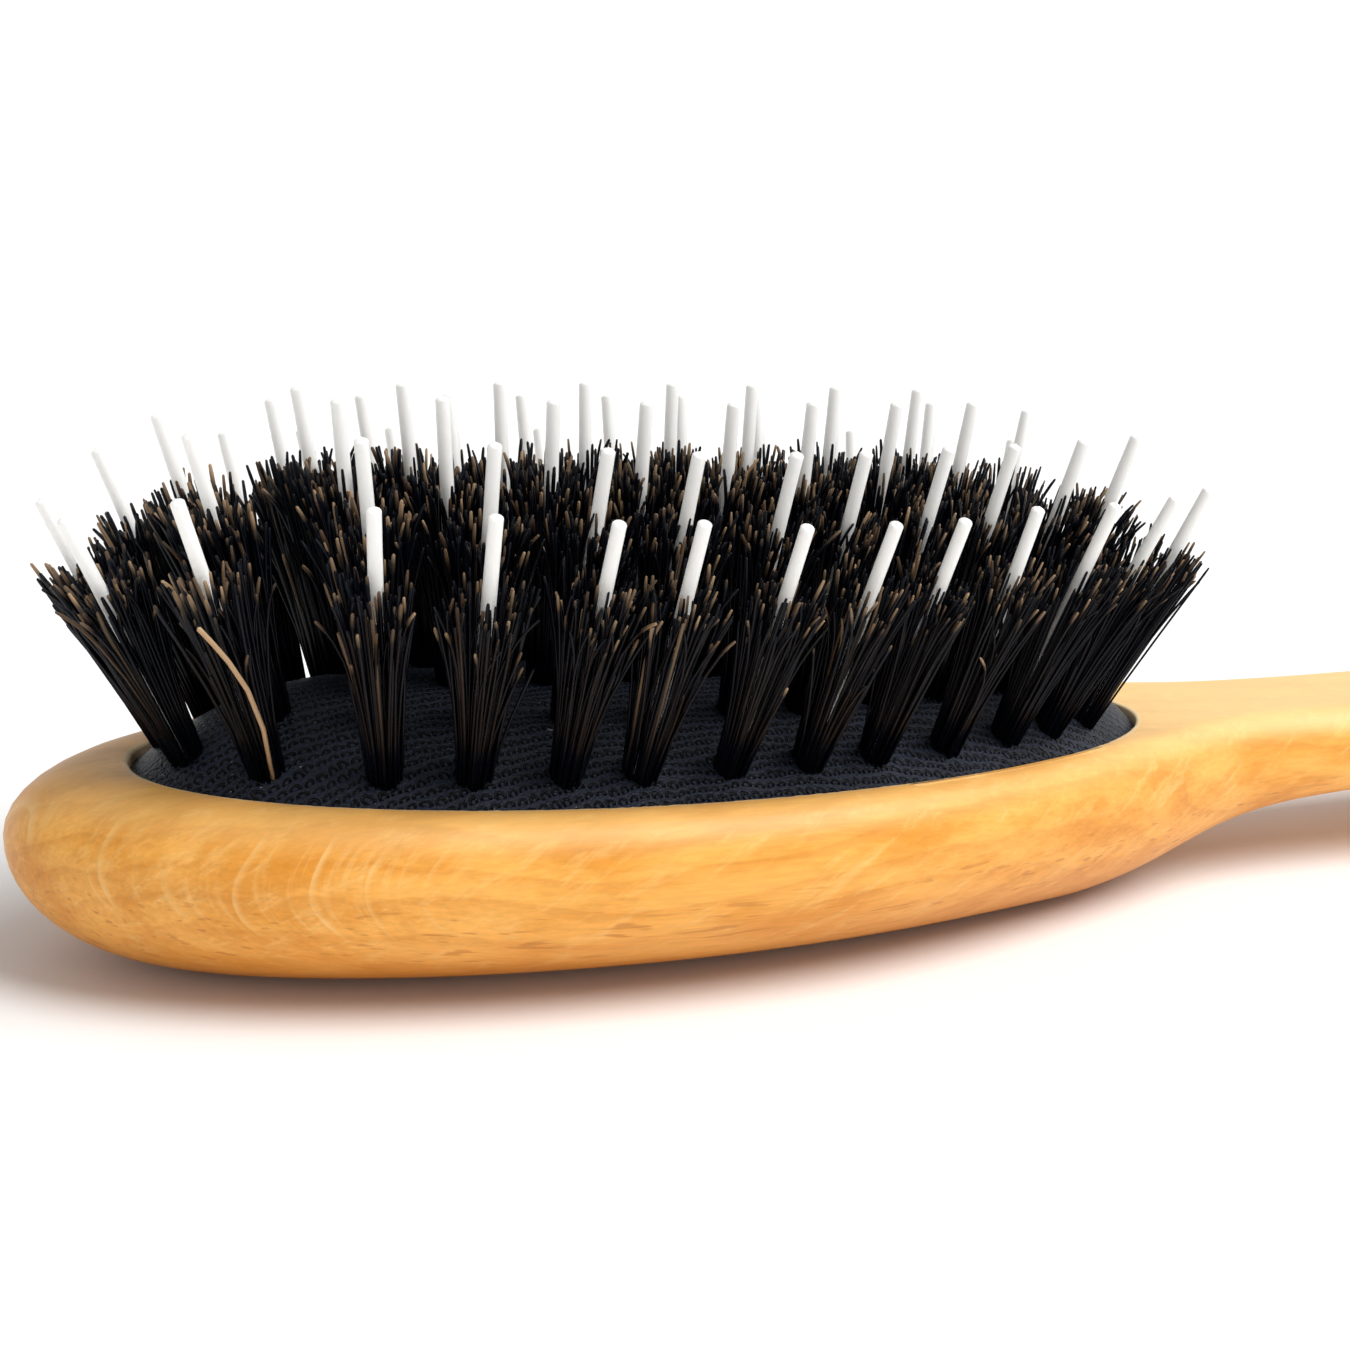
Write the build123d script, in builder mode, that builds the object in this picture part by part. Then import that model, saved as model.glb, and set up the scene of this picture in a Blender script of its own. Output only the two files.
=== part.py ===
from build123d import *
from math import atan, cos, hypot, pi, radians, sin
import os

# Pneumatic cushion hairbrush lying on its back, bristles up.
# +X runs from the nose of the head to the end of the handle, +Y across it, +Z towards the pins.
# The origin is the middle of the overall length and width, at the resting face. Millimetres.

# ---- driving dimensions -------------------------------------------------------------------
overall_length = 220.0
body_height = 17.0           # resting face to the top of the wood
widest_height = 11.5         # height at which the wood is widest

opening_length = 100.0       # pad opening cut into the head
opening_width = 40.8
opening_nose = 47.0          # widest point of the opening to its nose end
nose_margin = 10.0           # wood in front of the opening
side_margin = 4.8            # wood beside the opening

belly_round = 18.2           # plan width of the rounding under the head
shoulder_round = 3.8         # plan width of the rounding beside the opening
tail_round = 6.0             # plan length of the rounding at the end of the handle

recess_depth = 8.0           # floor of the air chamber below the top of the wood
groove_depth = 1.4           # undercut that holds the bead of the cushion
groove_height = 2.0

cushion_edge_drop = 1.0      # edge of the rubber below the top of the wood
cushion_rise = 7.8           # crown of the rubber above its edge
cushion_profile = 2.4        # exponent of the crown: 2 is a parabola, more is flatter on top
membrane = 1.6               # rubber thickness
crown_land = 2.0             # half width of the flat strip on the crown

root_radius = 1.7            # bundle of bristles where it passes through the rubber
hole_radius = 1.8
root_spacing = 2.7           # least distance of a root from the centre line
bulb_radius = 2.1            # folded root behind the rubber
flare_radius = 2.9           # bundle at its tips
bristle_height = 17.0
bundle_throat = 0.6          # height above the rubber at which a bundle starts to flare
tip_round = 2.0              # height over which the tips of a bundle round over
pin_radius = 0.6
pin_bore = 0.68
pin_height = 24.6            # nylon pin above the rubber
pin_head_radius = 1.3
pin_head_height = 0.9
wire_radius = 0.27           # binding wire round each root
wire_gap = 0.03
root_chamfer = 0.4           # broken edges of the folded root and of the pin's head
root_step = 0.2

root_depth = 4.4             # bottom of the folded root, below the outer face of the rubber
bulb_top = 3.3
wire_depth = 2.9

end_lean = 0.53              # sideways lean of a pin at the ends of the pad, as a slope
middle_lean = 0.10
side_lean = 0.55             # the same across the pad

# Rings of tufts: distance in from the opening's edge, then the walk along one half of the ring,
# from the nose end: the first step starts on the centre line. Hand-set tufts are uneven.
ring_insets = {"outer": 3.4, "middle": 9.2, "inner": 16.3}
ring_steps = {
    "outer": [2.0, 8.2, 9.4, 7.1, 7.7, 6.3, 8.2, 7.6, 6.8, 8.2, 7.7, 6.5, 6.0],
    "middle": [3.7, 9.3, 7.6, 7.6, 7.1, 8.2, 6.8, 7.9, 6.9, 8.0, 7.0],
    "inner": [3.4, 7.6, 7.9, 7.6, 8.0, 7.5, 7.9, 7.6],
}
walk_angle = radians(0.1)    # fineness of that walk

# ---- sizes worked out from them -----------------------------------------------------------
nose_x = -overall_length / 2
tail_x = overall_length / 2
pad_x = nose_x + nose_margin + opening_length / 2
opening_tail = opening_length - opening_nose
opening_half = opening_width / 2
wide_x = pad_x - opening_length / 2 + opening_nose
wide_half = opening_half + side_margin
rim_land = side_margin - shoulder_round
floor_z = body_height - recess_depth
edge_z = body_height - cushion_edge_drop

# Half widths of the wood behind its widest point, as (distance from the pad's centre, half width).
neck_widths = [(20, 22.6), (38, 17.5), (50, 13.4), (58, 10.8), (67, 9.7), (80, 9.7), (98, 10.5),
               (125, 11.4), (148, 9.8)]
# Underside of the neck and handle, as (distance from the pad's centre, height).
underside = [(36, 0.0), (50, 2.0), (62, 5.3), (76, 7.0), (95, 7.5), (125, 6.0), (150, 5.0)]

os.makedirs("parts", exist_ok=True)


def egg_edges(inset):
    """The opening's egg shape, drawn in by inset: a short and a long half ellipse."""
    centre = (wide_x, 0)
    half = opening_half - inset
    EllipticalCenterArc(centre, opening_nose - inset, half, start_angle=90, arc_size=180)
    EllipticalCenterArc(centre, opening_tail - inset, half, start_angle=270, arc_size=180)


def body_edges(nose_inset, side_scale, side_inset, tail_inset):
    """Half the plan outline of the wood at one level, from the nose to the tail, then its mirror."""
    half = wide_half * side_scale - side_inset
    nose_reach = wide_x - nose_x - nose_inset
    points = [(wide_x, half)]
    for distance, width in neck_widths:
        points.append((pad_x + distance, width * side_scale - side_inset))
    points.append((tail_x - tail_inset, 0))
    EllipticalCenterArc((wide_x, 0), nose_reach, half, start_angle=90, arc_size=90)
    Spline(*points, tangents=[(1, 0), (0, -1)])
    mirror(about=Plane.XZ)


def cushion_height(inset):
    """Height of the outer face of the rubber, this far in from the opening's edge."""
    return edge_z + cushion_rise * (1 - (1 - inset / opening_half) ** cushion_profile)


def cushion_slope(inset):
    ratio = cushion_profile * cushion_rise / opening_half
    return ratio * (1 - inset / opening_half) ** (cushion_profile - 1)


def lean_of(x, y):
    """Direction of a tuft standing at x, y: it leans out towards the pad's edge."""
    along = (x - pad_x) / (opening_length / 2)
    across = y / opening_half
    return Vector(middle_lean * along + end_lean * along**3, side_lean * across, 1).normalized()


def tuft_seats(ring, side):
    """Planes on the rubber, one for each tuft of half a ring: side is -1 in front, +1 behind."""
    inset = ring_insets[ring]
    nose_reach = opening_nose - inset
    tail_reach = opening_tail - inset
    half = opening_half - inset
    seats = []
    angle = 0.0
    for step in ring_steps[ring]:
        walked = 0.0
        while walked < step:
            reach = nose_reach if angle < pi / 2 else tail_reach
            walked += hypot(reach * sin(angle), half * cos(angle)) * walk_angle
            angle += walk_angle
        reach = nose_reach if angle < pi / 2 else tail_reach
        x = wide_x - reach * cos(angle)
        y = side * max(half * sin(angle), root_spacing)
        foot = Vector(x, y, cushion_height(inset))
        seats.append(Plane(origin=foot, x_dir=(1, 0, 0), z_dir=lean_of(x, y)))
    return seats


# ---- wooden body --------------------------------------------------------------------------
belly_angles = [90, 78, 64, 48, 32, 16, 0]
shoulder_angles = [22.5, 45, 67.5, 90]

with BuildPart() as wooden_body:
    for angle in belly_angles:
        level = widest_height * (1 - sin(radians(angle)))
        drawn_in = 1 - cos(radians(angle))
        with BuildSketch(Plane.XY.offset(level)):
            with BuildLine():
                body_edges(
                    belly_round * drawn_in,
                    1 - belly_round / wide_half * drawn_in,
                    0,
                    tail_round * drawn_in,
                )
            make_face()
    for angle in shoulder_angles:
        level = widest_height + (body_height - widest_height) * sin(radians(angle))
        drawn_in = 1 - cos(radians(angle))
        with BuildSketch(Plane.XY.offset(level)):
            with BuildLine():
                body_edges(
                    (nose_margin - rim_land) * drawn_in,
                    1,
                    shoulder_round * drawn_in,
                    tail_round * drawn_in,
                )
            make_face()
    loft()
    # the flat it rests on
    with Locations((0, 0, -body_height / 2)):
        Box(2 * overall_length, 4 * wide_half, body_height, mode=Mode.SUBTRACT)
    with BuildSketch(Plane.XZ):
        with BuildLine():
            curve = [(pad_x + distance, height) for distance, height in underside]
            end = (tail_x + 1, underside[-1][1])
            below = (tail_x + 1, -1)
            front = (curve[0][0], -1)
            Spline(*curve, end, tangents=[(1, 0), (1, 0)])
            Polyline(end, below, front, curve[0])
        make_face()
    extrude(amount=wide_half, both=True, mode=Mode.SUBTRACT)
    with BuildSketch(Plane.XY.offset(floor_z)):
        with BuildLine():
            egg_edges(0)
        make_face()
    extrude(amount=recess_depth, mode=Mode.SUBTRACT)
    with BuildSketch(Plane.XY.offset(floor_z)):
        with BuildLine():
            egg_edges(-groove_depth)
        make_face()
    extrude(amount=groove_height, mode=Mode.SUBTRACT)
wooden_body.part.label = "wooden_body"
export_step(wooden_body.part, "parts/wooden_body.step")

# ---- rubber cushion -----------------------------------------------------------------------
dome_insets = [0, 1.5, 3.5, 6, 9, 12.5, 15.5, opening_half - crown_land]
sides = {"front": -1, "rear": 1}

with BuildPart() as cushion_pad:
    with BuildSketch(Plane.XY.offset(floor_z)):
        with BuildLine():
            egg_edges(0)
        make_face()
    extrude(amount=edge_z - floor_z)
    with BuildSketch(Plane.XY.offset(floor_z)):
        with BuildLine():
            egg_edges(-groove_depth)
        make_face()
    extrude(amount=groove_height)
    for inset in dome_insets:
        with BuildSketch(Plane.XY.offset(cushion_height(inset))):
            with BuildLine():
                egg_edges(inset)
            make_face()
    loft()
    # air chamber, one rubber thickness inside the outer face
    chamber_z = edge_z - membrane
    with BuildSketch(Plane.XY.offset(floor_z)):
        with BuildLine():
            egg_edges(membrane)
        make_face()
    extrude(amount=chamber_z - floor_z, mode=Mode.SUBTRACT)
    with BuildSketch(Plane.XY.offset(chamber_z)):
        with BuildLine():
            egg_edges(membrane)
        make_face()
    for inset in dome_insets[1:-1]:
        steepness = atan(cushion_slope(inset))
        with BuildSketch(Plane.XY.offset(cushion_height(inset) - membrane * cos(steepness))):
            with BuildLine():
                egg_edges(inset + membrane * sin(steepness))
            make_face()
    loft(mode=Mode.SUBTRACT)
    for ring in ring_insets:
        for side in sides.values():
            with Locations(*[Location(seat) for seat in tuft_seats(ring, side)]):
                Cylinder(hole_radius, 4 * membrane, mode=Mode.SUBTRACT)
cushion_pad.part.label = "cushion_pad"
export_step(cushion_pad.part, "parts/cushion_pad.step")

# ---- one tuft, one pin and one binding wire, standing on the XY plane -----------------------
with BuildPart() as tuft_form:
    with BuildSketch(Plane.XZ):
        with BuildLine():
            Polyline(
                (pin_bore, bristle_height),
                (pin_bore, -root_depth),
                (bulb_radius - root_chamfer, -root_depth),
                (bulb_radius, -root_depth + root_chamfer),
                (bulb_radius, -bulb_top),
                (root_radius, -bulb_top + root_step),
                (root_radius, bundle_throat),
                (flare_radius, bristle_height - tip_round),
            )
            Spline(
                (flare_radius, bristle_height - tip_round),
                (pin_bore, bristle_height),
                tangents=[(0, 1), (-1, 0)],
            )
        make_face()
    revolve(axis=Axis.Z)

with BuildPart() as pin_form:
    with BuildSketch(Plane.XZ):
        with BuildLine():
            Polyline(
                (0, pin_height),
                (0, -root_depth - pin_head_height),
                (pin_head_radius - root_chamfer, -root_depth - pin_head_height),
                (pin_head_radius, -root_depth - pin_head_height + root_chamfer),
                (pin_head_radius, -root_depth),
                (pin_radius, -root_depth),
                (pin_radius, pin_height - pin_radius),
            )
            RadiusArc((pin_radius, pin_height - pin_radius), (0, pin_height), -pin_radius)
        make_face()
    revolve(axis=Axis.Z)

with BuildPart() as wire_form:
    with Locations((0, 0, -wire_depth)):
        Torus(root_radius + wire_radius + wire_gap, wire_radius)

forms = {"bristle_tufts": tuft_form, "nylon_pins": pin_form, "binding_wires": wire_form}

# ---- rings of tufts, pins and wires ---------------------------------------------------------
for ring in ring_insets:
    for side_name, side in sides.items():
        for kind, form in forms.items():
            node = f"{kind}_{ring}_{side_name}"
            with BuildPart() as group:
                with Locations(*[Location(seat) for seat in tuft_seats(ring, side)]):
                    add(form.part)
            group.part.label = node
            export_step(group.part, f"parts/{node}.step")

for ring, inset in ring_insets.items():
    share = (cushion_height(inset) - edge_z) / (cushion_height(ring_insets["inner"]) - edge_z)
    print(ring, "tufts", 2 * len(ring_steps[ring]), "height", round(cushion_height(inset), 3),
          "share of the inner ring's travel", round(share, 4))
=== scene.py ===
import math

import bmesh
import bpy
import numpy as np
from mathutils import Matrix, Vector


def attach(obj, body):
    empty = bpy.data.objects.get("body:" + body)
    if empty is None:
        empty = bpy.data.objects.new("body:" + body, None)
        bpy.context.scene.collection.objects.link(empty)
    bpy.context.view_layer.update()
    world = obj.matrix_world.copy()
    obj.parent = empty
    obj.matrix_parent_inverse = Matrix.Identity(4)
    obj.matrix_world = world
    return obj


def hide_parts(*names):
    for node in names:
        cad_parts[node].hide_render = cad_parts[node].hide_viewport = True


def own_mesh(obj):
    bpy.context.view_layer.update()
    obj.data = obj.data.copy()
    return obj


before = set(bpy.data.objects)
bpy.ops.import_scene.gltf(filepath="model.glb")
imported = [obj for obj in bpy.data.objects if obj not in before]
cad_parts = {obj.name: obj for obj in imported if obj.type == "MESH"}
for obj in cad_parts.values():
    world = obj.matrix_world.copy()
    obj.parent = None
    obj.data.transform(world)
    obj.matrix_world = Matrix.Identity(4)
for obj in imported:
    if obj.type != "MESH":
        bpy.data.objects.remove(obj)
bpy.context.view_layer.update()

MM = 0.001                   # one millimetre, in metres

# ---- sizes, in millimetres, as the CAD has them ---------------------------------------------
NOSE_X = -110.0
TAIL_X = 110.0
PAD_X = -50.0                # middle of the opening
BODY_HEIGHT = 17.0           # resting face to the top of the wood
WIDEST_HEIGHT = 11.5         # height at which the wood is widest
OPENING_NOSE = 47.0          # widest point of the opening to its nose end
OPENING_TAIL = 53.0          # the same to its tail end
OPENING_HALF = 20.4
WIDE_X = -53.0               # where the head and the opening are widest
WIDE_HALF = 25.2
BELLY_ROUND = 18.2           # plan width of the rounding under the head
SHOULDER_ROUND = 3.8         # plan width of the rounding beside the opening
RIM_LAND = 1.0               # flat wood between that rounding and the opening
NOSE_MARGIN = 10.0           # wood in front of the opening
TAIL_ROUND = 6.0             # plan length of the rounding at the end of the handle
TAIL_HALF = 9.7              # half width at which the side rounding starts to fade at the tail
FLOOR_Z = 9.0                # floor of the air chamber
GROOVE_DEPTH = 1.4           # undercut that holds the bead of the cushion
GROOVE_HEIGHT = 2.0
GROOVE_TOP = FLOOR_Z + GROOVE_HEIGHT
EDGE_Z = 16.0                # edge of the rubber
CUSHION_RISE = 7.8           # crown of the rubber above its edge
CUSHION_PROFILE = 2.4        # exponent of the crown
MEMBRANE = 1.6               # rubber thickness
BRISTLE_HEIGHT = 17.0
PIN_HEIGHT = 24.6            # nylon pin above the rubber
PIN_RADIUS = 0.6
ROOT_SPACING = 2.7           # least distance of a root from the centre line
END_LEAN = 0.53              # lean of a tuft along X, as a slope, which grows to the pad's ends
MIDDLE_LEAN = 0.10           # the part of it that grows evenly from the middle
SIDE_LEAN = 0.55             # lean across the pad at the opening's edge
PAD_HALF_LENGTH = 50.0
# Half widths of the neck and handle, as (distance from the pad's centre, half width).
NECK = [(20, 22.6), (38, 17.5), (50, 13.4), (58, 10.8), (67, 9.7), (80, 9.7), (98, 10.5),
        (125, 11.4), (148, 9.8)]
# Underside of the neck and handle, as (distance from the pad's centre, height).
UNDERSIDE = [(36, 0.0), (50, 2.0), (62, 5.3), (76, 7.0), (95, 7.5), (125, 6.0), (150, 5.0)]
# Rings of tufts: distance in from the opening's edge, then the walk along one half of the ring.
RING_INSETS = {"outer": 3.4, "middle": 9.2, "inner": 16.3}
RING_STEPS = {
    "outer": [2.0, 8.2, 9.4, 7.1, 7.7, 6.3, 8.2, 7.6, 6.8, 8.2, 7.7, 6.5, 6.0],
    "middle": [3.7, 9.3, 7.6, 7.6, 7.1, 8.2, 6.8, 7.9, 6.9, 8.0, 7.0],
    "inner": [3.4, 7.6, 7.9, 7.6, 8.0, 7.5, 7.9, 7.6],
}
WALK_ANGLE = math.radians(0.1)   # fineness of that walk

# ---- fineness of the meshes -------------------------------------------------------------------
CURVE_POINTS = 400           # points between two given points of a smooth outline
NOSE_STATIONS = 150          # stations of the wood's outline: round the nose,
PAD_STATIONS = 170           # beside the opening,
HANDLE_STATIONS = 90         # along the handle
TAIL_STATIONS = 28           # and round its end
TOP_COLUMNS = 12             # faces from the wood's edge to the opening's
FLAT_COLUMNS = 16            # faces across the resting face and the chamber's floor

# ---- the opening's cut edge: a little frayed, and paler than the varnished wood ---------------
PAD_REACH = OPENING_TAIL + 1.2   # the last station beside the opening, a little past its end
EDGE_STEPS = [(-0.70, 0.0), (-0.30, 0.03), (-0.05, 0.12), (0.0, 0.28), (0.0, 1.2)]  # inset, drop
EDGE_FRAY = 0.05
RAW_SHARES = [0.0, 0.85, 1.0, 1.0, 0.8, 0.5, 0.5, 0.5]   # bareness of the edge's and wall's rings

# ---- cushion ----------------------------------------------------------------------------------
CROWN_INSET = 19.9           # the dome's last ring but one
LAND_INSET = 20.2            # its last ring, round the flat strip on the crown
UNDER_INSET = 20.3           # the last ring of its inner face
DOME_RINGS = 88
UNDER_STEP = 6               # the inner face has a ring for every sixth of the outer face
BEAD_GAP = 0.1               # clearance of the bead in its groove
LIP_GAP = 0.05               # clearance of the rubber's edge in the opening

# ---- bristles and pins ------------------------------------------------------------------------
HAIRS = 120                  # hairs in a tuft
HAIR_STEPS = np.array([0, 0.3, 0.55, 0.75, 0.87, 0.92, 0.965, 1.0])   # shares of a hair's length
HAIR_RINGS = len(HAIR_STEPS)
HAIR_SIDES = 4
HAIR_RADIUS = 0.14
HAIR_SINK = 0.7              # how far the roots go below the rubber's surface
ROOT_RADIUS = 1.4            # the bundle where it leaves the rubber
TUFT_SPREAD = 2.15           # how much further out the outermost tips are than their roots
SHORTEST_HAIR = 13.0
LONGEST_HAIR = 19.4
LENGTH_SPREAD = 1.15         # standard deviation of the length
FAN_POWERS = (1.1, 2.0)      # how late on its length a hair turns outwards
DRIFT = 0.36                 # usual sideways bend of a hair at its tip
WILD_FACTOR = 3.4            # how much more the wild hairs bend
CURL = 0.6                   # usual bend of a curled tip
SHORT_SHARE = 0.06           # hairs cut or broken well below the rest
WILD_SHARE = 0.04            # hairs that stand out of their tuft
CURLED_SHARE = 0.5           # hairs with a bent tip
TIPPED_SHARE = 0.42          # hairs with a brown tip
BROWN_SHARE = 0.03           # hairs that are brown over most of their length
TIP_LENGTH = 0.06            # share of the length over which a tip turns brown
NOSE_TRIM = 0.9              # length of the two tufts at the very nose, against the others
NOSE_TUFT_X = WIDE_X - 40    # those two are before this,
NOSE_TUFT_HALF = 4           # and nearer the centre line than this
STRAY_TUFT = 1               # the outer front tuft that the pale stray hair comes from
STRAY_LENGTH = 15.5
STRAY_FOOT = (0.3, -1.0, -0.8)   # where it starts, from the tuft's foot
STRAY_REACH = (-2.7, -3.7, 0)    # how far it leans out of the tuft at its tip
STRAY_BOW = (1.2, 0.4, 0.6)      # how far it bows out half way up
STRAY_RADIUS = 0.2
PIN_TIP = 0.35               # height of the pin's rounded end
PIN_RINGS = 9
PIN_SIDES = 16
PIN_BEND = 0.25              # usual sideways bend at a pin's tip
PIN_TAPER = (1.03, 0.97)     # its thickness at the root and at the tip

# ---- camera ---------------------------------------------------------------------------------
CAMERA_YAW = math.radians(27.38)
CAMERA_PITCH = math.radians(13.43)
CAMERA_ROLL = math.radians(3.85)
CAMERA_DISTANCE = 0.20073    # metres
CAMERA_AIM = Vector((-0.051445, 0.0, 0.022443))
FOCAL_LENGTH = 59.09         # for the usual 36 mm wide sensor
FRAME_SHIFT = 0.00475
CLIP_START = 0.01

yaw, pitch, roll = CAMERA_YAW, CAMERA_PITCH, CAMERA_ROLL
sight = Vector((math.sin(yaw) * math.cos(pitch), math.cos(yaw) * math.cos(pitch),
                -math.sin(pitch)))
level_right = Vector((math.cos(yaw), -math.sin(yaw), 0))
level_up = Vector((math.sin(yaw) * math.sin(pitch), math.cos(yaw) * math.sin(pitch),
                   math.cos(pitch)))
right = math.cos(roll) * level_right + math.sin(roll) * level_up
up = -math.sin(roll) * level_right + math.cos(roll) * level_up
camera = bpy.data.objects.new("camera", bpy.data.cameras.new("camera"))
camera.matrix_world = Matrix.Translation(CAMERA_AIM - CAMERA_DISTANCE * sight) @ Matrix(
    (right, up, -sight)).transposed().to_4x4()
camera.data.lens = FOCAL_LENGTH
camera.data.shift_x = FRAME_SHIFT
camera.data.clip_start = CLIP_START
bpy.context.scene.collection.objects.link(camera)
bpy.context.scene.camera = camera


# ---- helpers: meshes ------------------------------------------------------------------------
def add_piece(name, mesh, material, body):
    """A smooth-shaded piece of one material, riding on a body."""
    mesh.shade_smooth()
    mesh.materials.append(material)
    piece = bpy.data.objects.new(name, mesh)
    bpy.context.scene.collection.objects.link(piece)
    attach(piece, body)
    return piece


def mesh_piece(name, vertices, faces, material, body):
    """A piece from points in millimetres and faces, its faces all turned outwards."""
    mesh = bpy.data.meshes.new(name)
    mesh.from_pydata((np.asarray(vertices) * MM).tolist(), [], faces)
    mesh.validate()
    work = bmesh.new()
    work.from_mesh(mesh)
    bmesh.ops.recalc_face_normals(work, faces=work.faces)
    work.to_mesh(mesh)
    work.free()
    return add_piece(name, mesh, material, body)


def give_attribute(piece, name, values):
    """One number for each point of a piece, for its material to read."""
    attribute = piece.data.attributes.new(name, "FLOAT", "POINT")
    attribute.data.foreach_set("value", np.asarray(values, np.float32))


def spline_points(points, start, end, count):
    """Points along the smooth curve through the given ones, start and end its end directions."""
    p = np.array(points, float)
    h = np.linalg.norm(np.diff(p, axis=0), axis=1)
    n = len(p)
    a = np.zeros((n, n))
    b = np.zeros((n, 2))
    a[0, 0] = a[-1, -1] = 1
    b[0], b[-1] = start, end
    for i in range(1, n - 1):
        a[i, i - 1:i + 2] = h[i], 2 * (h[i - 1] + h[i]), h[i - 1]
        b[i] = 3 * (h[i - 1] / h[i] * (p[i + 1] - p[i]) + h[i] / h[i - 1] * (p[i] - p[i - 1]))
    m = np.linalg.solve(a, b)
    out = []
    for i in range(n - 1):
        t = np.linspace(0, 1, count, endpoint=i == n - 2)[:, None]
        out.append((1 + 2 * t) * (1 - t)**2 * p[i] + t * (1 - t)**2 * h[i] * m[i]
                   + t * t * (3 - 2 * t) * p[i + 1] + t * t * (t - 1) * h[i] * m[i + 1])
    return np.concatenate(out)


# ---- the shape of the wood and the cushion ----------------------------------------------------
tail_start = PAD_X + NECK[-1][0]
neck_points = [(WIDE_X, WIDE_HALF)] + [(PAD_X + d, w) for d, w in NECK] + [(TAIL_X, 0)]
neck_curve = spline_points(neck_points, (1, 0), (0, -1), CURVE_POINTS)
tail_curve = neck_curve[-CURVE_POINTS:]
under_curve = spline_points([(PAD_X + d, z) for d, z in UNDERSIDE] + [(TAIL_X + 1, 5.0)],
                            (1, 0), (1, 0), CURVE_POINTS)

swing = np.linspace(0, math.pi / 2, NOSE_STATIONS + 1)
sweep = np.linspace(0, math.pi / 2, PAD_STATIONS + 1)[1:]
pad_x_stations = WIDE_X + PAD_REACH * np.sin(sweep)
handle_x_stations = np.linspace(pad_x_stations[-1], tail_start, HANDLE_STATIONS + 1)[1:]
tail_share = np.sin(np.linspace(0, math.pi / 2, TAIL_STATIONS + 1)[1:])
tail_pick = np.round(tail_share * (CURVE_POINTS - 1)).astype(int)
body_x = np.concatenate([pad_x_stations, handle_x_stations, tail_curve[tail_pick, 0]])
body_y = np.concatenate([
    np.interp(np.concatenate([pad_x_stations, handle_x_stations]),
              neck_curve[:-CURVE_POINTS, 0], neck_curve[:-CURVE_POINTS, 1]),
    tail_curve[tail_pick, 1]])
body_y[-1] = 0
LAST = NOSE_STATIONS + len(body_x)          # station at the tip of the tail
APEX = NOSE_STATIONS + PAD_STATIONS         # station at the tail end of the opening


def underside_height(x):
    """Height of the wood's underside: flat below the head, and rising below the handle."""
    return np.where(x < PAD_X + UNDERSIDE[0][0], 0,
                    np.interp(x, under_curve[:, 0], under_curve[:, 1]))


def body_outline(nose_inset, scale, side_inset, tail_inset):
    """Half the plan outline of the wood, from the nose to the tail: an array of x, y."""
    nose_x = WIDE_X - (WIDE_X - NOSE_X - nose_inset) * np.cos(swing)
    nose_y = (WIDE_HALF * scale - side_inset) * np.sin(swing)
    near_tip = np.clip(body_y / TAIL_HALF, 0, 1)
    y = body_y * scale - side_inset * (1 - (1 - near_tip)**2)
    along = np.clip((body_x - tail_start) / (TAIL_X - tail_start), 0, 1)
    x = body_x - tail_inset * along * along * (3 - 2 * along)
    return np.column_stack([np.concatenate([nose_x, x]), np.concatenate([nose_y, y])])


def egg_outline(inset):
    """Half the opening's outline drawn in by inset, station by station as the wood's."""
    turn = np.concatenate([-np.cos(swing), np.sin(sweep)])
    side = np.concatenate([np.sin(swing), np.cos(sweep)])
    reach = np.where(turn < 0, OPENING_NOSE, OPENING_TAIL) - inset
    return np.column_stack([WIDE_X + reach * turn, (OPENING_HALF - inset) * side])


def cushion_height(inset):
    """Height of the rubber's outer face at a distance in from the opening's edge."""
    return EDGE_Z + CUSHION_RISE * (1 - (1 - inset / OPENING_HALF)**CUSHION_PROFILE)


class Surface:
    """Points and faces of a piece that is the same on both sides of its length."""

    def __init__(self):
        self.points = []
        self.faces = []

    def add_ring(self, half_outline, z):
        """A closed ring: out along +Y and back along -Y. Both ends lie on the centre line."""
        xy = np.asarray(half_outline)
        z = np.broadcast_to(z, len(xy))
        first = len(self.points)
        there = np.column_stack([xy, z])
        there[0, 1] = there[-1, 1] = 0
        back = there[-2:0:-1] * (1, -1, 1)
        self.points.extend(there.tolist() + back.tolist())
        return list(range(first, len(self.points)))

    def join(self, a, b):
        """Faces between two rings of the same count."""
        n = len(a)
        for i in range(n):
            k = (i + 1) % n
            self.faces.append((a[i], a[k], b[k], b[i]))

    def row(self, first, last, columns):
        """A straight row of points between two points, all given by their numbers."""
        start = len(self.points)
        a, b = np.array(self.points[first]), np.array(self.points[last])
        for c in range(1, columns):
            self.points.append((a + (b - a) * c / columns).tolist())
        return [first, *range(start, start + columns - 1), last]

    def rungs(self, ring, first, last, columns):
        """Rows of points across a ring, one at each station from first to before last."""
        n = len(ring)
        return [self.row(ring[k], ring[(n - k) % n], columns) for k in range(first, last)]

    def bridge(self, rows):
        """Faces between neighbouring rows."""
        for a, b in zip(rows, rows[1:]):
            for i in range(len(a) - 1):
                self.faces.append((a[i], a[i + 1], b[i + 1], b[i]))

    def cap(self, ring, columns):
        """Closes a ring with rows of faces across it."""
        n = len(ring)
        half = n // 2
        rows = self.rungs(ring, 1, half, columns)
        self.bridge(rows)
        self.faces.extend((ring[0], rows[0][i + 1], rows[0][i]) for i in range(columns))
        self.faces.extend((ring[half], rows[-1][i], rows[-1][i + 1]) for i in range(columns))


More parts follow.
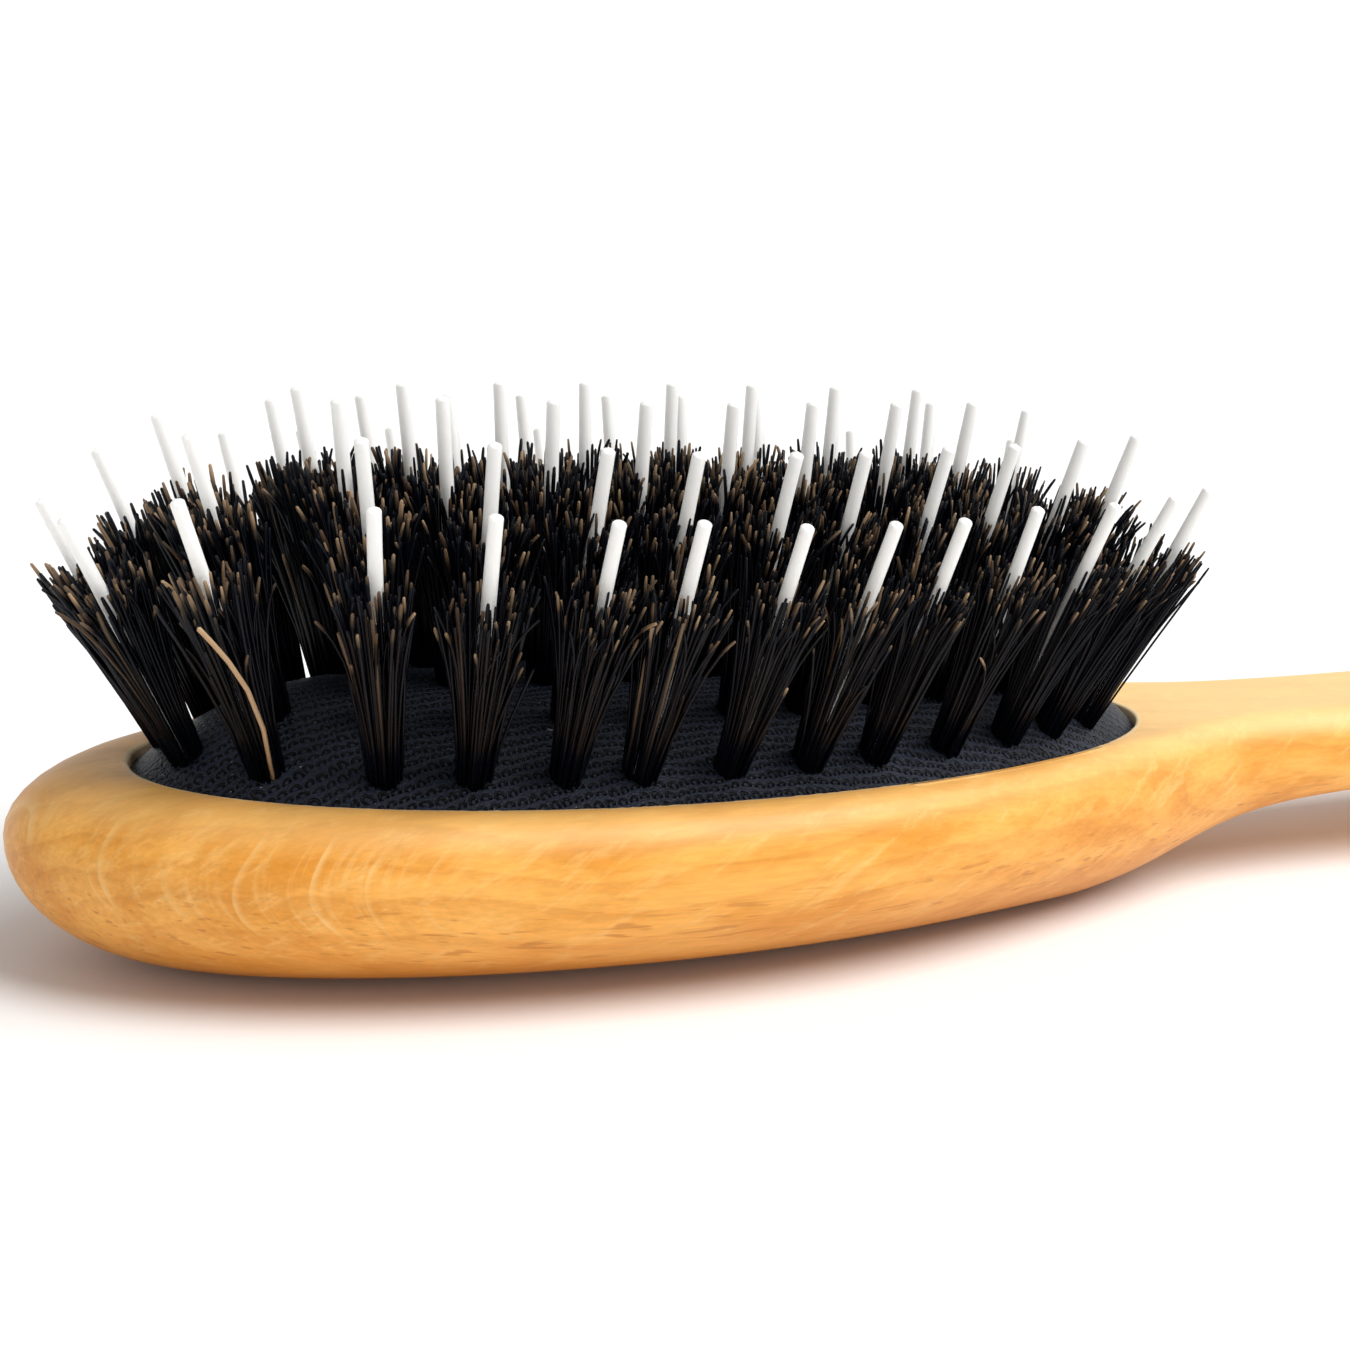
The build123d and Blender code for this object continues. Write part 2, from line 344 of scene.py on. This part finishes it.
# ---- helpers: materials -----------------------------------------------------------------------
class Shader:
    """A small way to write a node material."""

    def __init__(self, name):
        self.material = bpy.data.materials.new(name)
        self.material.use_nodes = True
        self.tree = self.material.node_tree
        self.surface = self.tree.nodes["Principled BSDF"]

    def put(self, socket, value):
        """Links a node's output to the socket, or sets the socket to a plain value."""
        if isinstance(value, bpy.types.NodeSocket):
            self.tree.links.new(value, socket)
        elif value is not None:
            socket.default_value = value

    def node(self, kind, inputs, out=0, **settings):
        """Adds a node with these inputs and settings, and gives one of its outputs."""
        n = self.tree.nodes.new(kind)
        for key, value in settings.items():
            setattr(n, key, value)
        for key, value in inputs.items():
            self.put(n.inputs[key], value)
        return n.outputs[out]

    def math(self, operation, a, b=None):
        return self.node("ShaderNodeMath", {0: a, 1: b}, operation=operation)

    def plus(self, a, b):
        return self.math("ADD", a, b)

    def minus(self, a, b):
        return self.math("SUBTRACT", a, b)

    def times(self, a, b):
        return self.math("MULTIPLY", a, b)

    def position(self):
        """The point of the surface in millimetres, in the row frame."""
        place = self.node("ShaderNodeTexCoord", {}, out="Object")
        return self.node("ShaderNodeVectorMath", {0: place, "Scale": 1 / MM}, operation="SCALE")

    def split(self, vector):
        """The x, y and z of a vector."""
        parts = self.tree.nodes.new("ShaderNodeSeparateXYZ")
        self.put(parts.inputs[0], vector)
        return parts.outputs

    def attribute(self, name):
        return self.node("ShaderNodeAttribute", {}, out="Fac", attribute_name=name)

    def scaled(self, vector, factors, offset=(0, 0, 0)):
        return self.node("ShaderNodeVectorMath", {0: vector, 1: factors, 2: offset},
                         operation="MULTIPLY_ADD")

    def noise(self, vector, scale=1.0, detail=2.0, roughness=0.5):
        return self.node("ShaderNodeTexNoise", {"Vector": vector, "Scale": scale, "Detail": detail,
                                                "Roughness": roughness}, out="Fac")

    def ramp(self, value, low, high, to_low=0.0, to_high=1.0):
        """Goes smoothly from to_low to to_high as value goes from low to high."""
        return self.node("ShaderNodeMapRange", {"Value": value, "From Min": low, "From Max": high,
                                                "To Min": to_low, "To Max": to_high},
                         interpolation_type="SMOOTHSTEP")

    def mix(self, factor, a, b):
        """Colours a and b mixed by factor."""
        return self.node("ShaderNodeMix", {0: factor, 6: colour(a), 7: colour(b)}, out=2,
                         data_type="RGBA")

    def shade(self, base, by):
        """The colour base times the value by."""
        grey = self.node("ShaderNodeCombineColor", {0: by, 1: by, 2: by})
        return self.node("ShaderNodeMix", {0: 1.0, 6: base, 7: grey}, out=2, data_type="RGBA",
                         blend_type="MULTIPLY")

    def bump(self, height, distance, strength=1.0):
        return self.node("ShaderNodeBump", {"Height": height, "Distance": distance,
                                            "Strength": strength})

    def finish(self, **inputs):
        """Sets the shader's inputs, each named with _ for a space, and gives the material."""
        for key, value in inputs.items():
            self.put(self.surface.inputs[key.replace("_", " ")], value)
        return self.material


def colour(value):
    """A plain colour with its alpha added; anything else as it is."""
    return (*value, 1.0) if isinstance(value, tuple) and len(value) == 3 else value


def wood_material():
    """Varnished beech: rings, clouds, streaks and flecks along the grain, arcs at the nose."""
    deep, honey, late_wood = (0.76, 0.300, 0.030), (0.93, 0.445, 0.085), (0.60, 0.20, 0.016)
    streak_gold, fleck_brown, ray_cream = (1.0, 0.62, 0.21), (0.42, 0.130, 0.010), (1.0, 0.70, 0.30)
    underside_painted_shade, bare_wood = (0.50, 0.165, 0.003), (0.95, 0.74, 0.46)
    top_painted_light, top_painted_highlight = (1.0, 0.66, 0.26), (1.0, 0.84, 0.42)
    s = Shader("varnished_beech")
    p = s.position()
    x, _, z = s.split(p)
    # growth rings round a pith that runs below and in front of the brush
    wobble = s.noise(s.scaled(p, (0.012, 0.04, 0.04)), 1.0, 3.0)
    from_pith = s.node("ShaderNodeVectorMath", {0: s.scaled(p, (0.10, 1, 1), (0, 34, 46))},
                       out="Value", operation="LENGTH")
    ring = s.math("FRACT", s.plus(s.times(from_pith, 0.30), s.times(wobble, 7.0)))
    late = s.times(s.ramp(ring, 0.5, 0.95), s.ramp(ring, 1.0, 0.92))
    # soft clouds, short slanting streaks, fine fibres and dark flecks along the grain
    figure = s.noise(s.scaled(p, (0.06, 0.2, 0.22)), 1.0, 5.0, 0.65)
    slant = s.node("ShaderNodeVectorRotate", {"Vector": p, "Axis": (0, 1, 0), "Angle": 0.55})
    streak = s.noise(s.scaled(slant, (0.16, 0.55, 0.8)), 1.0, 5.0, 0.65)
    fibre = s.noise(s.scaled(p, (0.30, 3.0, 3.0)), 1.0, 3.0, 0.6)
    fleck = s.noise(s.scaled(p, (0.17, 1.2, 1.9)), 1.0, 1.5)
    fleck = s.times(s.ramp(fleck, 0.62, 0.71), s.ramp(z, 13.0, 8.0))
    # thin pale arcs, bowed towards the nose, where the end of the head cuts across the rings
    above = s.minus(z, 12.0)
    bowed = s.minus(x, s.times(s.times(above, above), 0.16))
    arc_wave = s.noise(s.scaled(p, (0.07, 0.05, 0.05)), 1.0, 1.0)
    arc_phase = s.math("FRACT", s.plus(s.times(bowed, 0.22), s.times(arc_wave, 2.0)))
    arc = s.times(s.ramp(arc_phase, 0.0, 0.03), s.ramp(arc_phase, 0.16, 0.03))
    # broader rays between them; both fade in and out, and stay on the side of the nose
    ray_place = s.node("ShaderNodeCombineXYZ", {0: bowed, 1: 0.0, 2: s.times(z, 0.06)})
    rays = s.noise(ray_place, 1.9, 1.0)
    arc = s.math("MAXIMUM", arc, s.times(s.ramp(rays, 0.52, 0.68), 0.45))
    patches = s.noise(s.scaled(p, (0.12, 0.1, 0.2)), 1.0, 1.0)
    arc = s.times(arc, s.ramp(patches, 0.30, 0.6))
    band = s.times(s.ramp(z, 7.0, 9.5), s.ramp(z, 16.2, 14.5))
    arc = s.times(arc, s.times(s.ramp(x, -74.0, -92.0), band))
    base = s.mix(s.ramp(figure, 0.34, 0.66), deep, honey)
    base = s.mix(s.times(late, 0.28), base, late_wood)
    base = s.mix(s.times(s.ramp(streak, 0.50, 0.72), 0.40), base, streak_gold)
    base = s.shade(base, s.ramp(fibre, 0.25, 0.75, 0.90, 1.05))
    base = s.mix(s.times(fleck, 0.5), base, fleck_brown)
    base = s.mix(s.times(arc, 0.45), base, ray_cream)
    # painted shade: darker and deeper orange towards the bottom
    base = s.mix(s.ramp(z, 9.0, 0.0, 0.0, 0.85), base, underside_painted_shade)
    # painted light: golden on the top
    base = s.mix(s.ramp(z, 13.5, 17.0, 0.0, 0.35), base, top_painted_light)
    # painted highlight: paler still on the top of the handle
    top_highlight_mask = s.times(s.ramp(x, -25.0, 15.0, 0.0, 0.4), s.ramp(z, 14.5, 17.0))
    base = s.mix(top_highlight_mask, base, top_painted_highlight)
    # painted shade: darker at the nose
    base = s.shade(base, s.ramp(x, -110.0, -88.0, 0.86, 1.0))
    # the cut edge of the opening is pale, and its wall unvarnished
    raw = s.attribute("raw_edge")
    fuzz = s.noise(s.scaled(p, (2.5, 2.5, 2.5)), 1.0, 3.0)
    raw = s.times(raw, s.ramp(fuzz, 0.3, 0.6, 0.45, 1.0))
    base = s.mix(raw, base, bare_wood)
    height = s.plus(s.times(fibre, 0.7), s.times(fleck, -0.5))
    rough = s.ramp(raw, 0.2, 1.0, 0.42, 0.85)
    return s.finish(Base_Color=base, Roughness=rough, Specular_IOR_Level=0.35, Coat_Weight=0.06,
                    Coat_Roughness=0.4, Normal=s.bump(height, 0.00005, 0.6))


def rubber_material():
    """Dark rubber embossed with rows of small arches, with painted shade in the arches, dusty in
    places.
    """
    pitch, row_pitch = 1.05, 0.80
    blue_black, slate, dust = (0.006, 0.009, 0.019), (0.016, 0.021, 0.036), (0.55, 0.54, 0.50)
    s = Shader("embossed_rubber")
    p = s.position()
    x, y, _ = s.split(p)
    # every other row is shifted by half a pitch, and the rows wander a little
    wander = s.noise(s.scaled(p, (0.30, 0.45, 0.30)), 1.0, 2.0)
    across = s.plus(s.math("DIVIDE", y, row_pitch), s.times(wander, 1.8))
    row = s.math("FLOOR", across)
    odd = s.times(s.math("PINGPONG", row, 1.0), 0.5)
    along = s.plus(s.math("DIVIDE", x, pitch), odd)
    along = s.minus(along, s.times(wander, 1.2))
    u = s.minus(s.math("FRACT", along), 0.5)
    v = s.minus(s.math("FRACT", across), 0.5)
    distance = s.math("SQRT", s.plus(s.times(u, u), s.times(v, v)))
    arch = s.ramp(s.math("ABSOLUTE", s.minus(distance, 0.30)), 0.15, 0.05)
    arch = s.times(arch, s.ramp(v, -0.25, 0.0))
    grit = s.noise(p, 5.0, 3.0)
    relief = s.minus(s.times(grit, 0.30), arch)
    speck = s.ramp(s.noise(p, 2.3, 1.0), 0.77, 0.80)
    cloud = s.noise(p, 0.12, 3.0)
    base = s.mix(s.ramp(cloud, 0.3, 0.7), blue_black, slate)
    base = s.mix(s.times(speck, 0.45), base, dust)
    # painted shade in the embossed arches
    base = s.shade(base, s.minus(1.0, s.times(arch, 0.9)))
    return s.finish(Base_Color=base, Roughness=0.42, Specular_IOR_Level=0.28,
                    Normal=s.bump(relief, 0.0005, 1.0))


def bristle_material():
    """Natural bristle: near black, and tan where the attribute brown says so."""
    s = Shader("natural_bristle")
    tint = s.attribute("brown")
    lift = s.attribute("shade")
    dark = s.mix(lift, (0.0004, 0.0008, 0.0026), (0.0025, 0.0035, 0.0075))
    brown = s.mix(lift, (0.07, 0.038, 0.020), (0.50, 0.33, 0.19))
    return s.finish(Base_Color=s.mix(tint, dark, brown), Roughness=0.33, Specular_IOR_Level=0.18)


def nylon_material():
    """White nylon rod, with faint lines along it from drawing."""
    s = Shader("white_nylon")
    p = s.position()
    cloud = s.noise(p, 0.5, 2.0)
    base = s.mix(cloud, (0.94, 0.92, 0.87), (0.97, 0.96, 0.93))
    drawn = s.noise(s.scaled(p, (4, 4, 0.4)), 1.0, 2.0)
    return s.finish(Base_Color=base, Roughness=0.35, Subsurface_Weight=0.35,
                    Subsurface_Radius=(0.0012, 0.0011, 0.0010), Subsurface_Scale=1.0,
                    Normal=s.bump(drawn, 0.00002, 0.4))


def wire_material():
    """Bright steel wire round the roots, inside the cushion."""
    s = Shader("binding_wire")
    drawn = s.noise(s.position(), 9.0, 2.0)
    return s.finish(Base_Color=s.mix(drawn, (0.45, 0.45, 0.44), (0.62, 0.61, 0.60)), Metallic=1.0,
                    Roughness=0.35)


wood = wood_material()
rubber = rubber_material()
bristle = bristle_material()
nylon = nylon_material()
wire = wire_material()


# ---- wooden body --------------------------------------------------------------------------------
def make_body():
    """The head and handle, closed all round, with the opening, its groove and its floor."""
    s = Surface()
    rings = []
    for angle in np.radians(np.arange(90, -1, -6)):
        # the rounding under the head, up to the widest height
        drawn_in = 1 - math.cos(angle)
        outline = body_outline(BELLY_ROUND * drawn_in, 1 - BELLY_ROUND / WIDE_HALF * drawn_in, 0,
                               TAIL_ROUND * drawn_in)
        under = underside_height(outline[:, 0])
        z = under + (WIDEST_HEIGHT - under) * (1 - math.sin(angle))
        rings.append(s.add_ring(outline, z))
    for angle in np.radians(np.arange(10, 91, 10)):
        # the rounding from there to the top
        drawn_in = 1 - math.cos(angle)
        outline = body_outline((NOSE_MARGIN - RIM_LAND) * drawn_in, 1, SHOULDER_ROUND * drawn_in,
                               TAIL_ROUND * drawn_in)
        z = WIDEST_HEIGHT + (BODY_HEIGHT - WIDEST_HEIGHT) * math.sin(angle)
        rings.append(s.add_ring(outline, z))
    for a, b in zip(rings, rings[1:]):
        s.join(a, b)
    # the opening's edge, broken by a small round, its wall, the groove and the floor
    fray = random_draws.normal(0, EDGE_FRAY, APEX + 1)
    fray *= np.concatenate([np.sin(swing), np.cos(sweep)])
    egg_rings = [s.add_ring(egg_outline(inset + fray * (drop > 0)), BODY_HEIGHT - drop)
                 for inset, drop in EDGE_STEPS]
    for inset, z in [(0.0, GROOVE_TOP), (-GROOVE_DEPTH, GROOVE_TOP), (-GROOVE_DEPTH, FLOOR_Z)]:
        egg_rings.append(s.add_ring(egg_outline(inset), z))
    for a, b in zip(egg_rings, egg_rings[1:]):
        s.join(a, b)
    # flat top: on both sides of the opening first, then across the handle
    top, lip = rings[-1], egg_rings[0]
    n, m = len(top), len(lip)
    left, right = [], []
    for k in range(APEX + 1):
        left.append(s.row(top[k], lip[k], TOP_COLUMNS))
        right.append(s.row(top[n - k], lip[(m - k) % m], TOP_COLUMNS) if k else left[0])
    s.bridge(left)
    s.bridge([row[::-1] for row in right])
    across = [left[APEX] + right[APEX][-2::-1]] + s.rungs(top, APEX + 1, LAST, 2 * TOP_COLUMNS)
    s.bridge(across)
    s.faces.extend((top[LAST], across[-1][i], across[-1][i + 1]) for i in range(2 * TOP_COLUMNS))
    s.cap(rings[0], FLAT_COLUMNS)
    s.cap(egg_rings[-1], FLAT_COLUMNS)
    piece = mesh_piece("wood_head_and_handle", s.points, s.faces, wood, "brush_body")
    raw = np.zeros(len(s.points))
    for ring, value in zip(egg_rings, RAW_SHARES):
        raw[ring] = value
    give_attribute(piece, "raw_edge", raw)
    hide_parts("wooden_body")


# ---- rubber cushion -----------------------------------------------------------------------------
def make_cushion():
    """The domed membrane, which the inner ring presses flat, and the bead that holds its edge."""
    s = Surface()
    insets = np.concatenate([np.linspace(0, CROWN_INSET, DOME_RINGS), [LAND_INSET]])
    rings = [s.add_ring(egg_outline(inset), cushion_height(inset)) for inset in insets]
    for a, b in zip(rings, rings[1:]):
        s.join(a, b)
    s.cap(rings[-1], 2)
    under = [s.add_ring(egg_outline(min(inset + MEMBRANE, UNDER_INSET)),
                        cushion_height(inset) - MEMBRANE)
             for inset in insets[::UNDER_STEP]]
    for a, b in zip(under, under[1:]):
        s.join(a, b)
    s.join(rings[0], under[0])
    s.cap(under[-1], 2)
    dome = mesh_piece("rubber_dome", s.points, s.faces, rubber, "brush_body")
    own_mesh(dome)
    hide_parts("cushion_pad")
    s = Surface()
    profile = [(MEMBRANE, FLOOR_Z + BEAD_GAP), (-GROOVE_DEPTH + BEAD_GAP, FLOOR_Z + BEAD_GAP),
               (-GROOVE_DEPTH + BEAD_GAP, GROOVE_TOP - BEAD_GAP), (LIP_GAP, GROOVE_TOP - BEAD_GAP),
               (LIP_GAP, EDGE_Z), (MEMBRANE, EDGE_Z - MEMBRANE)]
    rings = [s.add_ring(egg_outline(inset), z) for inset, z in profile]
    for a, b in zip(rings, rings[1:] + rings[:1]):
        s.join(a, b)
    bead = mesh_piece("rubber_bead", s.points, s.faces, rubber, "brush_body")
    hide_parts("cushion_pad")


# ---- tufts and pins -----------------------------------------------------------------------------
def ring_reach(angle, inset):
    """Half length of a ring of tufts: the opening's nose part is shorter than its tail part."""
    return (OPENING_NOSE if angle < math.pi / 2 else OPENING_TAIL) - inset


def tuft_seats(ring, side):
    """Foot and direction of each tuft of half a ring, as the CAD has them."""
    inset = RING_INSETS[ring]
    half = OPENING_HALF - inset
    seats = []
    angle = 0.0
    for step in RING_STEPS[ring]:
        walked = 0.0
        while walked < step:
            reach = ring_reach(angle, inset)
            walked += math.hypot(reach * math.sin(angle), half * math.cos(angle)) * WALK_ANGLE
            angle += WALK_ANGLE
        x = WIDE_X - ring_reach(angle, inset) * math.cos(angle)
        y = side * max(half * math.sin(angle), ROOT_SPACING)
        along = (x - PAD_X) / PAD_HALF_LENGTH
        lean = np.array([MIDDLE_LEAN * along + END_LEAN * along**3,
                         SIDE_LEAN * y / OPENING_HALF, 1])
        seats.append((np.array([x, y, cushion_height(inset)]), lean / np.linalg.norm(lean)))
    return seats


def cross_axes(direction):
    """Two directions square to the given ones, for arrays of directions."""
    side = np.cross(direction, (0.0, 1.0, 0.0))
    side /= np.linalg.norm(side, axis=-1, keepdims=True)
    return side, np.cross(direction, side)


def tubes(lines, radii, sides):
    """Closed thin tubes along many lines at once: their points, and the faces of one of them.

    lines is (count, rings, 3) and radii (count, rings). A face of three corners ends in -1.
    """
    count, rings, _ = lines.shape
    tangent = np.gradient(lines, axis=1)
    tangent /= np.linalg.norm(tangent, axis=2, keepdims=True)
    a, b = cross_axes(tangent)
    turn = np.arange(sides) / sides * 2 * math.pi
    shell = (lines[:, :, None] + radii[:, :, None, None]
             * (np.cos(turn)[:, None] * a[:, :, None] + np.sin(turn)[:, None] * b[:, :, None]))
    tips = lines[:, -1] + tangent[:, -1] * radii[:, -1:]
    points = np.concatenate([shell.reshape(count, -1, 3), lines[:, :1], tips[:, None]], axis=1)
    per = rings * sides + 2
    faces = []
    for r in range(rings - 1):
        for k in range(sides):
            n = (k + 1) % sides
            faces.append((r * sides + k, r * sides + n, (r + 1) * sides + n, (r + 1) * sides + k))
    for k in range(sides):
        n = (k + 1) % sides
        faces.append((rings * sides, n, k, -1))
        faces.append((per - 1, (rings - 1) * sides + k, (rings - 1) * sides + n, -1))
    return points, faces


def many_piece(name, points, faces, material, body, attributes=()):
    """One piece from many copies of the same face list over different points."""
    count, per, _ = points.shape
    mesh = bpy.data.meshes.new(name)
    mesh.vertices.add(count * per)
    mesh.vertices.foreach_set("co", (points * MM).astype(np.float32).ravel())
    sizes = np.array([3 if f[3] == -1 else 4 for f in faces])
    corners = np.concatenate([f[:s] for f, s in zip(faces, sizes)])
    loops = (corners[None] + per * np.arange(count)[:, None]).ravel()
    mesh.loops.add(len(loops))
    mesh.loops.foreach_set("vertex_index", loops.astype(np.int32))
    all_sizes = np.tile(sizes, count)
    mesh.polygons.add(len(all_sizes))
    starts = np.concatenate([[0], np.cumsum(all_sizes)[:-1]])
    mesh.polygons.foreach_set("loop_start", starts.astype(np.int32))
    mesh.update(calc_edges=True)
    mesh.validate()
    piece = add_piece(name, mesh, material, body)
    for key, values in attributes:
        give_attribute(piece, key, values.ravel())
    return piece


def nose_trim(foot):
    """The two tufts at the very nose are cut a little shorter than the rest."""
    return NOSE_TRIM if foot[0] < NOSE_TUFT_X and abs(foot[1]) < NOSE_TUFT_HALF else 1.0


def make_tufts(ring, side_name, side, rng):
    """The hairs of half a ring, as one piece. Each draws its own length, spread and colours."""
    seats = tuft_seats(ring, side)
    lines, radii, browns, shades = [], [], [], []
    n = HAIRS
    t = HAIR_STEPS[None]
    for foot, lean in seats:
        a, b = cross_axes(lean)
        share = np.sqrt(rng.uniform(0.20, 1, n))
        turn = rng.uniform(0, 2 * math.pi, n)
        out = np.cos(turn)[:, None] * a + np.sin(turn)[:, None] * b
        length = rng.normal(BRISTLE_HEIGHT + 0.1, LENGTH_SPREAD, n)
        length = np.clip(length, SHORTEST_HAIR, LONGEST_HAIR)
        short = rng.random(n) < SHORT_SHARE
        length[short] *= rng.uniform(0.6, 0.85, short.sum())
        length *= nose_trim(foot)
        spread = TUFT_SPREAD * rng.uniform(0.85, 1.12) * share**1.3 * rng.normal(1, 0.16, n)
        # sideways bend of the whole hair, and of its last part alone
        drift = rng.normal(0, DRIFT, (n, 2))
        drift[rng.random(n) < WILD_SHARE] *= WILD_FACTOR
        curl = rng.normal(0, CURL, (n, 2)) * (rng.random((n, 1)) < CURLED_SHARE)
        bow = rng.uniform(*FAN_POWERS, n)
        sway = drift[:, :1] * a + drift[:, 1:] * b
        hook = curl[:, :1] * a + curl[:, 1:] * b
        root = foot - HAIR_SINK * lean + out * (ROOT_RADIUS * share)[:, None]
        rise = (length + HAIR_SINK)[:, None, None] * t[:, :, None] * lean
        fan = (spread[:, None] * t ** bow[:, None])[:, :, None] * out[:, None]
        bend = (t ** 2)[:, :, None] * sway[:, None]
        bend = bend + (t ** 7)[:, :, None] * hook[:, None]
        lines.append(root[:, None] + rise + fan + bend)
        thick = HAIR_RADIUS * rng.uniform(0.8, 1.25, n)
        taper = np.interp(t, [0, 0.6, 0.96, 1.0], [1.0, 1.0, 1.12, 0.85])
        radii.append(thick[:, None] * taper)
        # some tips are brown, and a few hairs along most of their length
        tipped = rng.random(n) < TIPPED_SHARE
        start = rng.uniform(0.90, 0.99, n)
        strength = tipped * rng.uniform(0.5, 1.0, n)
        tip = np.clip((t - start[:, None]) / TIP_LENGTH, 0, 1) * strength[:, None]
        whole = (rng.random(n) < BROWN_SHARE) * rng.uniform(0.25, 0.9, n)
        fade = np.interp(t, [0, 0.35, 0.7, 1], [0.0, 0.1, 0.8, 1])
        browns.append(np.maximum(tip, whole[:, None] * fade))
        shades.append(np.repeat(rng.random(n)[:, None], HAIR_RINGS, axis=1))
    if (ring, side_name) == ("outer", "front"):
        # one pale hair of the second tuft has come bowed out of it
        foot, lean = seats[STRAY_TUFT]
        bowed = foot + STRAY_FOOT + np.outer(HAIR_STEPS * STRAY_LENGTH, lean)
        bowed += np.outer(HAIR_STEPS, STRAY_REACH)
        bowed += np.outer(np.sin(math.pi * HAIR_STEPS), STRAY_BOW)
        lines.append(bowed[None])
        radii.append(np.full((1, HAIR_RINGS), STRAY_RADIUS))
        browns.append(np.ones((1, HAIR_RINGS)))
        shades.append(np.ones((1, HAIR_RINGS)))
    lines, radii = np.concatenate(lines), np.concatenate(radii)
    brown, shade = np.concatenate(browns), np.concatenate(shades)
    points, faces = tubes(lines, radii, HAIR_SIDES)

    def per_point(values):
        """A value for every point of the tubes, from one for every ring of them."""
        spread_out = np.repeat(values, HAIR_SIDES, axis=1)
        return np.concatenate([spread_out, values[:, :1], values[:, -1:]], axis=1)

    piece = many_piece(f"bristles_{ring}_{side_name}", points, faces, bristle, f"{ring}_ring",
                       [("brown", per_point(brown)), ("shade", per_point(shade))])
    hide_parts(f"bristle_tufts_{ring}_{side_name}")


def make_pins(ring, side_name, side, rng):
    """The nylon pins of half a ring, as one piece, each bent a little its own way."""
    lines, radii = [], []
    body = PIN_HEIGHT - PIN_TIP
    dome = np.radians([15, 30, 45, 60, 75])
    shaft = np.linspace(-HAIR_SINK, body, PIN_RINGS)
    heights = np.concatenate([shaft, body + PIN_TIP * np.sin(dome)])
    thickness = np.concatenate([PIN_RADIUS * np.interp(shaft, [0, body], PIN_TAPER),
                                PIN_RADIUS * np.cos(dome)])
    for foot, lean in tuft_seats(ring, side):
        a, b = cross_axes(lean)
        bend = rng.normal(0, PIN_BEND, 2)
        t = np.clip(heights / PIN_HEIGHT, 0, 1)[:, None]
        trimmed = np.maximum(heights, 0) * (nose_trim(foot) - 1)
        bowed = t**2 * (bend[0] * a + bend[1] * b)
        lines.append(foot + (heights + trimmed)[:, None] * lean + bowed)
        radii.append(thickness)
    points, faces = tubes(np.array(lines), np.array(radii), PIN_SIDES)
    piece = many_piece(f"pins_{ring}_{side_name}", points, faces, nylon, f"{ring}_ring")
    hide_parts(f"nylon_pins_{ring}_{side_name}")


random_draws = np.random.default_rng(7)
make_body()
make_cushion()
for ring in RING_INSETS:
    for side_name, side in (("front", -1), ("rear", 1)):
        make_tufts(ring, side_name, side, random_draws)
        make_pins(ring, side_name, side, random_draws)
        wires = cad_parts[f"binding_wires_{ring}_{side_name}"]
        wires.data.materials.clear()
        wires.data.materials.append(wire)

# ---- floor and light ----------------------------------------------------------------------------
FLOOR_HALF = 60.0            # metres, so that its edge is lost in the white distance
SKY = {"From Min": 0.12, "From Max": 0.30, "To Min": 1.05, "To Max": 0.45}   # height to strength

floor_mesh = bpy.data.meshes.new("floor")
floor_mesh.from_pydata([(-FLOOR_HALF, -FLOOR_HALF, 0), (FLOOR_HALF, -FLOOR_HALF, 0),
                        (FLOOR_HALF, FLOOR_HALF, 0), (-FLOOR_HALF, FLOOR_HALF, 0)],
                       [], [(0, 1, 2, 3)])
floor = bpy.data.objects.new("floor", floor_mesh)
bpy.context.scene.collection.objects.link(floor)
pale = Shader("pale_floor")
floor_mesh.materials.append(pale.finish(Base_Color=(0.9, 0.9, 0.9, 1), Roughness=0.9,
                                        Specular_IOR_Level=0.0))

world = bpy.data.worlds.new("studio")
bpy.context.scene.world = world
world.use_nodes = True
tree = world.node_tree
direction = tree.nodes.new("ShaderNodeTexCoord")
parts = tree.nodes.new("ShaderNodeSeparateXYZ")
sky = tree.nodes.new("ShaderNodeMapRange")
sky.interpolation_type = "SMOOTHSTEP"
for socket, value in SKY.items():
    sky.inputs[socket].default_value = value
tree.links.new(direction.outputs["Generated"], parts.inputs[0])
tree.links.new(parts.outputs[2], sky.inputs["Value"])
tree.links.new(sky.outputs["Result"], tree.nodes["Background"].inputs["Strength"])
tree.nodes["Background"].inputs["Color"].default_value = (1.0, 1.0, 1.0, 1)


def add_sun(name, towards, strength, softness):
    """A light from the direction towards, even over the floor; softness is its angle in degrees."""
    data = bpy.data.lights.new(name, "SUN")
    data.energy = strength
    data.angle = math.radians(softness)
    light = bpy.data.objects.new(name, data)
    light.rotation_mode = "QUATERNION"
    light.rotation_quaternion = Vector(towards).to_track_quat("Z", "Y")
    bpy.context.scene.collection.objects.link(light)


add_sun("overhead", towards=(0.50, -0.45, 1.0), strength=3.0, softness=45)
bpy.context.scene.view_settings.view_transform = "Standard"
